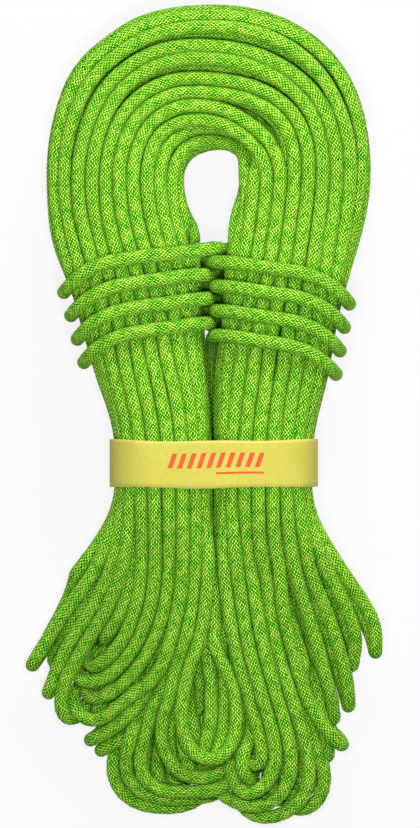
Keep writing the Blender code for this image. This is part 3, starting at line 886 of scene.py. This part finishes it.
class Flow:
    # a material's socket that can be used in sums; node() adds any other node
    def __init__(self, tree, socket=None):
        self.tree = tree
        self.socket = socket

    def node(self, kind, settings=None, inputs=None, out=0):
        made = self.tree.nodes.new(kind)
        for name, value in (settings or {}).items():
            if name == "stops":
                ramp = made.color_ramp
                while len(ramp.elements) < len(value):
                    ramp.elements.new(1.0)
                for stop, (position, colour) in zip(ramp.elements, value):
                    stop.position, stop.color = position, colour
            else:
                setattr(made, name, value)
        for key, value in (inputs or {}).items():
            if isinstance(value, Flow):
                self.tree.links.new(value.socket, made.inputs[key])
            else:
                made.inputs[key].default_value = value
        return Flow(self.tree, made.outputs[out])

    def sum(self, operation, *others):
        values = {place: value for place, value in enumerate((self,) + others)}
        return self.node("ShaderNodeMath", {"operation": operation}, values)

    def __add__(self, other):
        return self.sum("ADD", other)

    def __radd__(self, other):
        return self.sum("ADD", other)

    def __sub__(self, other):
        return self.sum("SUBTRACT", other)

    def __rsub__(self, other):
        return self.sum("MULTIPLY_ADD", -1.0, other)

    def __mul__(self, other):
        return self.sum("MULTIPLY", other)

    def __rmul__(self, other):
        return self.sum("MULTIPLY", other)

    def __mod__(self, other):
        return self.sum("FLOORED_MODULO", other)

    def __lt__(self, other):
        return self.sum("LESS_THAN", other)

    def __gt__(self, other):
        return self.sum("GREATER_THAN", other)

    def floor(self):
        return self.sum("FLOOR")

    def output(self, out):
        # another output of the same node
        return Flow(self.tree, self.socket.node.outputs[out])

    def ownPlace(self):
        # the place on the piece, in its own space
        return self.node("ShaderNodeTexCoord", None, None, 3)

    def vector(self, *parts):
        return self.node("ShaderNodeCombineXYZ", None, dict(enumerate(parts)))

    def noise(self, place, scale, detail, space="3D"):
        return self.node("ShaderNodeTexNoise", {"noise_dimensions": space},
                         {"Vector": place, "Scale": scale, "Detail": detail})

    def mix(self, low, high):
        # colours, with this value as the factor
        return self.node("ShaderNodeMix", {"data_type": "RGBA"}, {0: self, 6: low, 7: high}, 2)

    def smooth(self, low, high):
        return self.node("ShaderNodeMapRange", {"interpolation_type": "SMOOTHSTEP"},
                         {"Value": self, "From Min": low, "From Max": high})


def newMaterial(name, **constants):
    made = bpy.data.materials.new(name)
    made.use_nodes = True
    shader = made.node_tree.nodes["Principled BSDF"]
    for key, value in constants.items():
        shader.inputs[key.replace("_", " ")].default_value = value
    return made, Flow(made.node_tree), shader


def feed(flow, shader, name):
    flow.tree.links.new(flow.socket, shader.inputs[name])


def bump(height, strength, distance):
    return height.node("ShaderNodeBump", None,
                       {"Strength": strength, "Distance": distance, "Height": height})


def splitUv(flow, name):
    coordinates = flow.node("ShaderNodeUVMap", {"uv_map": name})
    split = flow.node("ShaderNodeSeparateXYZ", None, {0: coordinates})
    return split, split.output(1)


sheath = {
    "yarns": 24,                    # each way round the rope
    "lay": 0.00290,                 # along the rope from one yarn to the next
    # the yarn's own colour is pale lime; the darker, more saturated colour on the sides of each
    # float is painted shade
    "pale": (0.66, 1.0, 0.10, 1),
    "sideShadeGreen": (0.0, 0.43, 0.0, 1),
    # the near-black colour in the crevices between floats is painted shade
    "creviceShade": (0.0, 0.12, 0.0, 1),
    "toPale": (0.48, 0.64),         # the height at which the painted shade on a float's sides turns to the pale yarn
    "creviceShadeEnds": (0.12, 0.38),        # and at which the painted shade in the crevices ends
    "roughness": 0.6,
    "specular": 0.03,
    "relief": 0.00050,
    "uneven": 0.45,                 # how much one float of yarn differs from the next
    "stray": 0.18,                  # how far the rows wander, in yarns
    "strayScale": 420.0,
    "filament": 0.22,               # height of the fine fibres, against the yarn's 1
    "filamentScale": 1100.0,
    "drift": 0.14,                  # how much lightness drifts along the rope
    "driftScale": 22.0,
}


def sheathMaterial():
    made, flow, shader = newMaterial("sheathBraid", Roughness=sheath["roughness"],
                                     Specular_IOR_Level=sheath["specular"])
    around, along = splitUv(flow, "lay")
    place = flow.ownPlace()
    wander = flow.noise(place, sheath["strayScale"], 1.0)
    turns = around * sheath["yarns"]
    lays = along * (1 / sheath["lay"]) + (wander - 0.5) * (sheath["stray"] * 4)
    right, left = turns + lays, turns - lays
    rightYarn, leftYarn = right.floor(), left.floor()
    rightOver = ((rightYarn + leftYarn) % 4) < 1.5
    under = 1 - rightOver
    # the yarn on top: how far across it and how far along its float
    across = (right - rightYarn) * rightOver + (left - leftYarn) * under
    alongRight, alongLeft = left + rightYarn, right + leftYarn
    run = ((alongRight % 4) * rightOver + ((alongLeft % 4) - 2) * under) * 0.5
    crown = (across * math.pi).sum("SINE") * (run * math.pi).sum("SINE")
    number = (rightYarn * rightOver + leftYarn * under) % sheath["yarns"]
    floated = (alongRight * 0.25).floor() * rightOver + (alongLeft * 0.25).floor() * under
    chance = flow.node("ShaderNodeTexWhiteNoise", {"noise_dimensions": "3D"},
                       {"Vector": flow.vector(number, floated, rightOver)})
    filament = flow.noise(place, sheath["filamentScale"], 2.0)
    drift = flow.noise(place, sheath["driftScale"], 1.0)
    height = crown + filament * sheath["filament"] - sheath["filament"] / 2
    tone = height + (chance - 0.5) * sheath["uneven"]
    # pale on each float's crown, turning darker on its sides as painted shade; floats differ at
    # random in how much is pale
    colour = tone.smooth(*sheath["toPale"]).mix(sheath["sideShadeGreen"], sheath["pale"])
    # darkest in the crevices between floats: painted shade
    colour = height.smooth(*sheath["creviceShadeEnds"]).mix(sheath["creviceShade"], colour)
    value = (1 - sheath["drift"] / 2) + drift * sheath["drift"]
    colour = flow.node("ShaderNodeHueSaturation", None, {"Value": value, "Color": colour})
    feed(colour, shader, "Base Color")
    feed(bump(height, 1.0, sheath["relief"]), shader, "Normal")
    return made


sheathFinish = sheathMaterial()
climbingRope.data.materials.append(sheathFinish)
print("sheath braided")

# The rope's core and ends, on the frame's own pieces
ends = {
    "kern": (0.86, 0.86, 0.80, 1),
    # kernShade and tracerShade are darker copies of the kern and tracer colours, painted shade in
    # the grooves of the twist
    "kernShade": (0.55, 0.55, 0.50, 1),
    "tracer": (0.70, 0.10, 0.05, 1),
    "tracerShade": (0.35, 0.05, 0.025, 1),
    "melt": (0.08, 0.24, 0.02, 1),
    "sleeve": (0.022, 0.022, 0.024, 1),
    "relief": 0.0002,
}


def strandMaterial(name, pale, shade, twist):
    # twisted filaments: slanting stripes in the strand's own space, with the darker copy of the
    # colour painted as shade in the grooves between them
    made, flow, shader = newMaterial(name, Roughness=0.7)
    place = flow.ownPlace()
    stripes = flow.node("ShaderNodeTexWave", {"bands_direction": "DIAGONAL"},
                        {"Vector": place, "Scale": twist, "Distortion": 1.5, "Detail": 1.0}, 1)
    feed(stripes.mix(shade, pale), shader, "Base Color")
    feed(bump(stripes, 0.6, ends["relief"]), shader, "Normal")
    return made


def moulded(name, colour, roughness, scale):
    # plastic or melted polyamide, a little cloudy
    made, flow, shader = newMaterial(name, Roughness=roughness)
    place = flow.ownPlace()
    cloud = flow.noise(place, scale, 4.0)
    dark = tuple(part * 0.6 for part in colour[:3]) + (1,)
    feed(cloud.smooth(0.3, 0.7).mix(dark, colour), shader, "Base Color")
    feed(bump(cloud, 0.25, ends["relief"]), shader, "Normal")
    return made


kernFinish = strandMaterial("kernYarn", ends["kern"], ends["kernShade"], twist=260.0)
tracerFinish = strandMaterial("tracerYarn", ends["tracer"], ends["tracerShade"], twist=400.0)
meltFinish = moulded("meltedEnd", ends["melt"], roughness=0.3, scale=500.0)
sleeveFinish = moulded("shrunkSleeve", ends["sleeve"], roughness=0.42, scale=300.0)


def dress(word):
    # gives every piece of one end its finish
    pieces = []
    for name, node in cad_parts.items():
        if not name.startswith(word + "_end_") or name.endswith("_sheath"):
            continue
        finish = (kernFinish if "_kern_" in name else tracerFinish if "_tracer" in name
                  else meltFinish if "_melt" in name else sleeveFinish)
        node.data.materials.clear()
        node.data.materials.append(finish)
        pieces.append(node)
    return pieces


endPieces = dress("start") + dress("finish")
print("rope ends dressed,", len(endPieces), "pieces")

# The paper band
band = {
    "top": 0.1890,                  # drop of its upper edge
    "width": 0.0330,
    "clearance": 0.0008,
    "slide": (0.0155, 0.0070),      # it goes round all that it slides over, up and down
    "thickness": 0.00030,
    "lap": 0.045,
    "lapPoints": (0.12, 1.0, 8),    # from and to which share of the lap, and how many
    "lapStart": 0.004,              # before the middle
    "lapBelow": 1.6,                # thicknesses under the first turn
    "ease": 6,                      # rounds of rounding off, where the line turns round a pass
    "rows": 12,                     # of faces across it
    "step": 0.0022,                 # length of a face
    # Its edges wander a little: size, waves a metre, shift, and how much they lean
    "wander": ((0.0007, 31, 1.0, 0), (0.0004, 83, 0, 2)),
    "yellow": (0.50, 0.46, 0.046, 1),
    "paleYellow": (0.61, 0.57, 0.105, 1),
    "print": (0.76, 0.055, 0.012, 1),
}


def hullOf(points):
    # the points of a taut line round them, from its left end underneath to the right and back
    points = sorted(map(tuple, points))
    halves = []
    for run in (points, points[::-1]):
        half = []
        for x, z in run:
            while len(half) > 1 and ((half[-1][0] - half[-2][0]) * (z - half[-2][1])
                                     <= (half[-1][1] - half[-2][1]) * (x - half[-2][0])):
                half.pop()
            half.append((x, z))
        halves += half[:-1]
    return np.array(halves)


def bandLine():
    # pulled tight round the passes, from the middle underneath, with the end lapped over the start
    drops = hankPlace["y"] - rings[:, 1]
    held = rings[(drops > band["top"] - band["slide"][0])
                 & (drops < band["top"] + band["width"] + band["slide"][1])]
    turn = np.linspace(0, 2 * math.pi, 25)[:-1]
    reach = radius + band["clearance"]
    x = (held[:, :1] + reach * np.cos(turn)).ravel()
    z = (held[:, 2:] + reach * np.sin(turn)).ravel()
    hull = hullOf(np.column_stack((x, z)).round(5))
    middle = (hull[:, 0].min() + hull[:, 0].max()) / 2
    low = hull[hull[:, 1] < hull[:, 1].mean()]
    low = low[np.argsort(low[:, 0])]
    start = np.array([(middle, np.interp(middle, low[:, 0], low[:, 1]))])
    # the hull runs anticlockwise, so from the start it goes out to the right
    first = int(np.argmax((hull[:, 0] > middle) & (hull[:, 1] < hull[:, 1].mean())))
    hull = np.roll(hull, -first, axis=0)
    line = np.vstack((start, hull))
    places = np.linspace(*band["lapPoints"]) * band["lap"]
    lap = pointsAt(places, runAlong(line), line)
    lap -= (0, band["thickness"] * band["lapBelow"])
    return np.vstack((line, start - (band["lapStart"], 0), lap))


def bandSheet():
    # a strip along the line, flat from edge to edge, with its own thickness
    line = bandLine()
    run = runAlong(line)
    places = np.linspace(0, run[-1], int(run[-1] / band["step"]))
    x, z = pointsAt(places, run, line).T
    for _ in range(band["ease"]):
        x[1:-1] = (x[:-2] + 2 * x[1:-1] + x[2:]) / 4
        z[1:-1] = (z[:-2] + 2 * z[1:-1] + z[2:]) / 4
    verts, faces, flat = [], [], []
    rows = band["rows"]
    for place, (across, up) in enumerate(zip(x, z)):
        for row in range(rows + 1):
            share = row / rows
            drop = band["top"] + band["width"] * share
            drop += sum(size * math.sin(places[place] * waves + shift + lean * share)
                        for size, waves, shift, lean in band["wander"])
            verts.append((across, hankPlace["y"] - drop, up))
    for place in range(len(places) - 1):
        for row in range(rows):
            corner = place * (rows + 1) + row
            faces.append((corner, corner + 1, corner + rows + 2, corner + rows + 1))
            flat += [(places[place], row / rows * band["width"]),
                     (places[place], (row + 1) / rows * band["width"]),
                     (places[place + 1], (row + 1) / rows * band["width"]),
                     (places[place + 1], row / rows * band["width"])]
    mesh = bpy.data.meshes.new("paperBand")
    mesh.from_pydata(verts, [], faces)
    layer = mesh.uv_layers.new(name="lay")
    layer.data.foreach_set("uv", np.array(flat).ravel())
    mesh.polygons.foreach_set("use_smooth", np.ones(len(faces), dtype=bool))
    made = bpy.data.objects.new("paperBand", mesh)
    bpy.context.collection.objects.link(made)
    thick = made.modifiers.new("thickness", "SOLIDIFY")
    thick.thickness = band["thickness"]
    thick.offset = -1.0
    bpy.context.view_layer.objects.active = made
    made.select_set(True)
    bpy.ops.object.modifier_apply(modifier=thick.name)
    made.select_set(False)
    return made, float(run[-1])


paper = {
    # laid paper: fine lines, the chain lines across them, and a little cloud
    "roughness": 0.78,
    "lines": (1400.0, 160.0),       # waves a metre along the band and across it
    "chains": (200.0, 1300.0),
    "lineShare": 0.6,
    "cloudScale": 30.0,
    "shares": (0.8, 0.5, 0.5),      # of the lines, the cloud and the paler edges in its tone
    "tone": (0.35, 1.15),
    "edge": (0.0022, 0.0006),       # the edges grow paler from here to here
    "worn": 0.14,                   # how far the lines show through the print
    "relief": 0.00025,
}
ornament = {
    # a plain printed row of slanting bars: from where to where across the hank, and down the band
    "from": -0.0308, "to": 0.0371, "top": 0.0085, "bottom": 0.0190,
    "bar": 0.0068, "share": 0.52, "slant": 0.35,
    # the line under it, which ends where the row does
    "lineFrom": 0.0035, "lineTop": 0.0220, "lineBottom": 0.0236,
    "above": 0.05,                  # printed on the upper side only
}


def bandMaterial():
    made, flow, shader = newMaterial("bandPaper", Roughness=paper["roughness"])
    place = flow.ownPlace()
    along, across = splitUv(flow, "lay")
    split = flow.node("ShaderNodeSeparateXYZ", None, {0: place})
    x = split - hankPlace["x"]
    up = split.output(2)
    lines, chains = (flow.noise(flow.vector(along * waves[0], across * waves[1]), 1.0, 2.0, "2D")
                     for waves in (paper["lines"], paper["chains"]))
    cloud = flow.noise(place, paper["cloudScale"], 3.0)
    fibres = lines * paper["lineShare"] + chains * (1 - paper["lineShare"])
    half = band["width"] / 2
    edge = (across - half).sum("ABSOLUTE").smooth(*(half - inset for inset in paper["edge"]))
    ofFibres, ofCloud, ofEdge = paper["shares"]
    tone = (fibres * ofFibres + cloud * ofCloud + edge * ofEdge).smooth(*paper["tone"])
    colour = tone.mix(band["yellow"], band["paleYellow"])
    front = up > ornament["above"]
    inRow = (x > ornament["from"]) * (x < ornament["to"])
    inHeight = (across > ornament["top"]) * (across < ornament["bottom"])
    slanted = x + across * ornament["slant"]
    bars = (((slanted - ornament["from"]) * (1 / ornament["bar"])) % 1) < ornament["share"]
    thin = ((x > ornament["lineFrom"]) * (x < ornament["to"]) * (across > ornament["lineTop"])
            * (across < ornament["lineBottom"]))
    ink = (inRow * inHeight * bars + thin) * front
    worn = ink * (1 - paper["worn"] + fibres * paper["worn"])
    feed(worn.mix(colour, band["print"]), shader, "Base Color")
    feed(bump(fibres, 0.35, paper["relief"]), shader, "Normal")
    return made


paperBand, bandLength = bandSheet()
paperBand.data.materials.append(bandMaterial())
print("paper band", round(bandLength, 3), "m long")

# The floor and the lights
studio = {
    "floor": 4.0,
    "floorColour": (0.66, 0.66, 0.66, 1),
    "floorRoughness": 0.9,
    "shadowShare": 0.14,            # how much of the floor's own light and shadow the camera sees
    "world": 0.12,
    "lamps": (
        # name, place, size, watts
        ("topLamp", (0.1, 1.2, 0.75), 0.6, 13.5),
        ("leftLamp", (-1.05, 0.25, 0.95), 0.6, 2.0),
        ("rightLamp", (1.05, 0.25, 0.95), 0.6, 5.0),
        ("overLamp", (0.0, -0.10, 1.6), 0.3, 18.0),
    ),
}


def addFloor():
    bpy.ops.mesh.primitive_plane_add(size=studio["floor"], location=(0, 0, 0))
    floor = bpy.context.object
    floor.name = "floor"
    # its colour is lit as any other, and most of what the camera and mirrors see is plain white
    made, flow, shader = newMaterial("floorPaper", Base_Color=studio["floorColour"],
                                     Roughness=studio["floorRoughness"])
    rays = flow.node("ShaderNodeLightPath")
    mirrored = rays.output("Is Glossy Ray") + rays.output("Is Transmission Ray")
    seen = (rays + mirrored).sum("MINIMUM", 1.0) * (1 - studio["shadowShare"])
    white = flow.node("ShaderNodeEmission", None, {"Color": (1, 1, 1, 1), "Strength": 1.0})
    both = flow.node("ShaderNodeMixShader", None,
                     {0: seen, 1: Flow(flow.tree, shader.outputs[0]), 2: white})
    output = made.node_tree.nodes["Material Output"]
    made.node_tree.links.new(both.socket, output.inputs["Surface"])
    floor.data.materials.append(made)
    return floor


def addLamps():
    for name, place, size, watts in studio["lamps"]:
        bpy.ops.object.light_add(type="AREA", location=place)
        lamp = bpy.context.object
        lamp.name = name
        lamp.data.shape = "DISK"
        lamp.data.size = size
        lamp.data.energy = watts
        aim = Vector((0, 0, 0)) - Vector(place)
        lamp.rotation_euler = aim.to_track_quat("-Z", "Y").to_euler()
    world = bpy.data.worlds.new("studioWorld")
    world.use_nodes = True
    background = world.node_tree.nodes["Background"]
    background.inputs["Color"].default_value = (1, 1, 1, 1)
    background.inputs["Strength"].default_value = studio["world"]
    bpy.context.scene.world = world


addFloor()
addLamps()
bpy.context.scene.view_settings.view_transform = "Standard"
print("floor and lamps set")

# What stands for what, and the body each piece rides on
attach(climbingRope, "rope")
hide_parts("rope_outer_loops", "rope_buried_loops_arch",
            "rope_buried_loops_left_leg", "rope_buried_loops_right_leg",
            "rope_figure_eight_wraps", "start_end_sheath", "finish_end_sheath")
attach(paperBand, "band")
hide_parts("paper_band", "paper_band_lap")
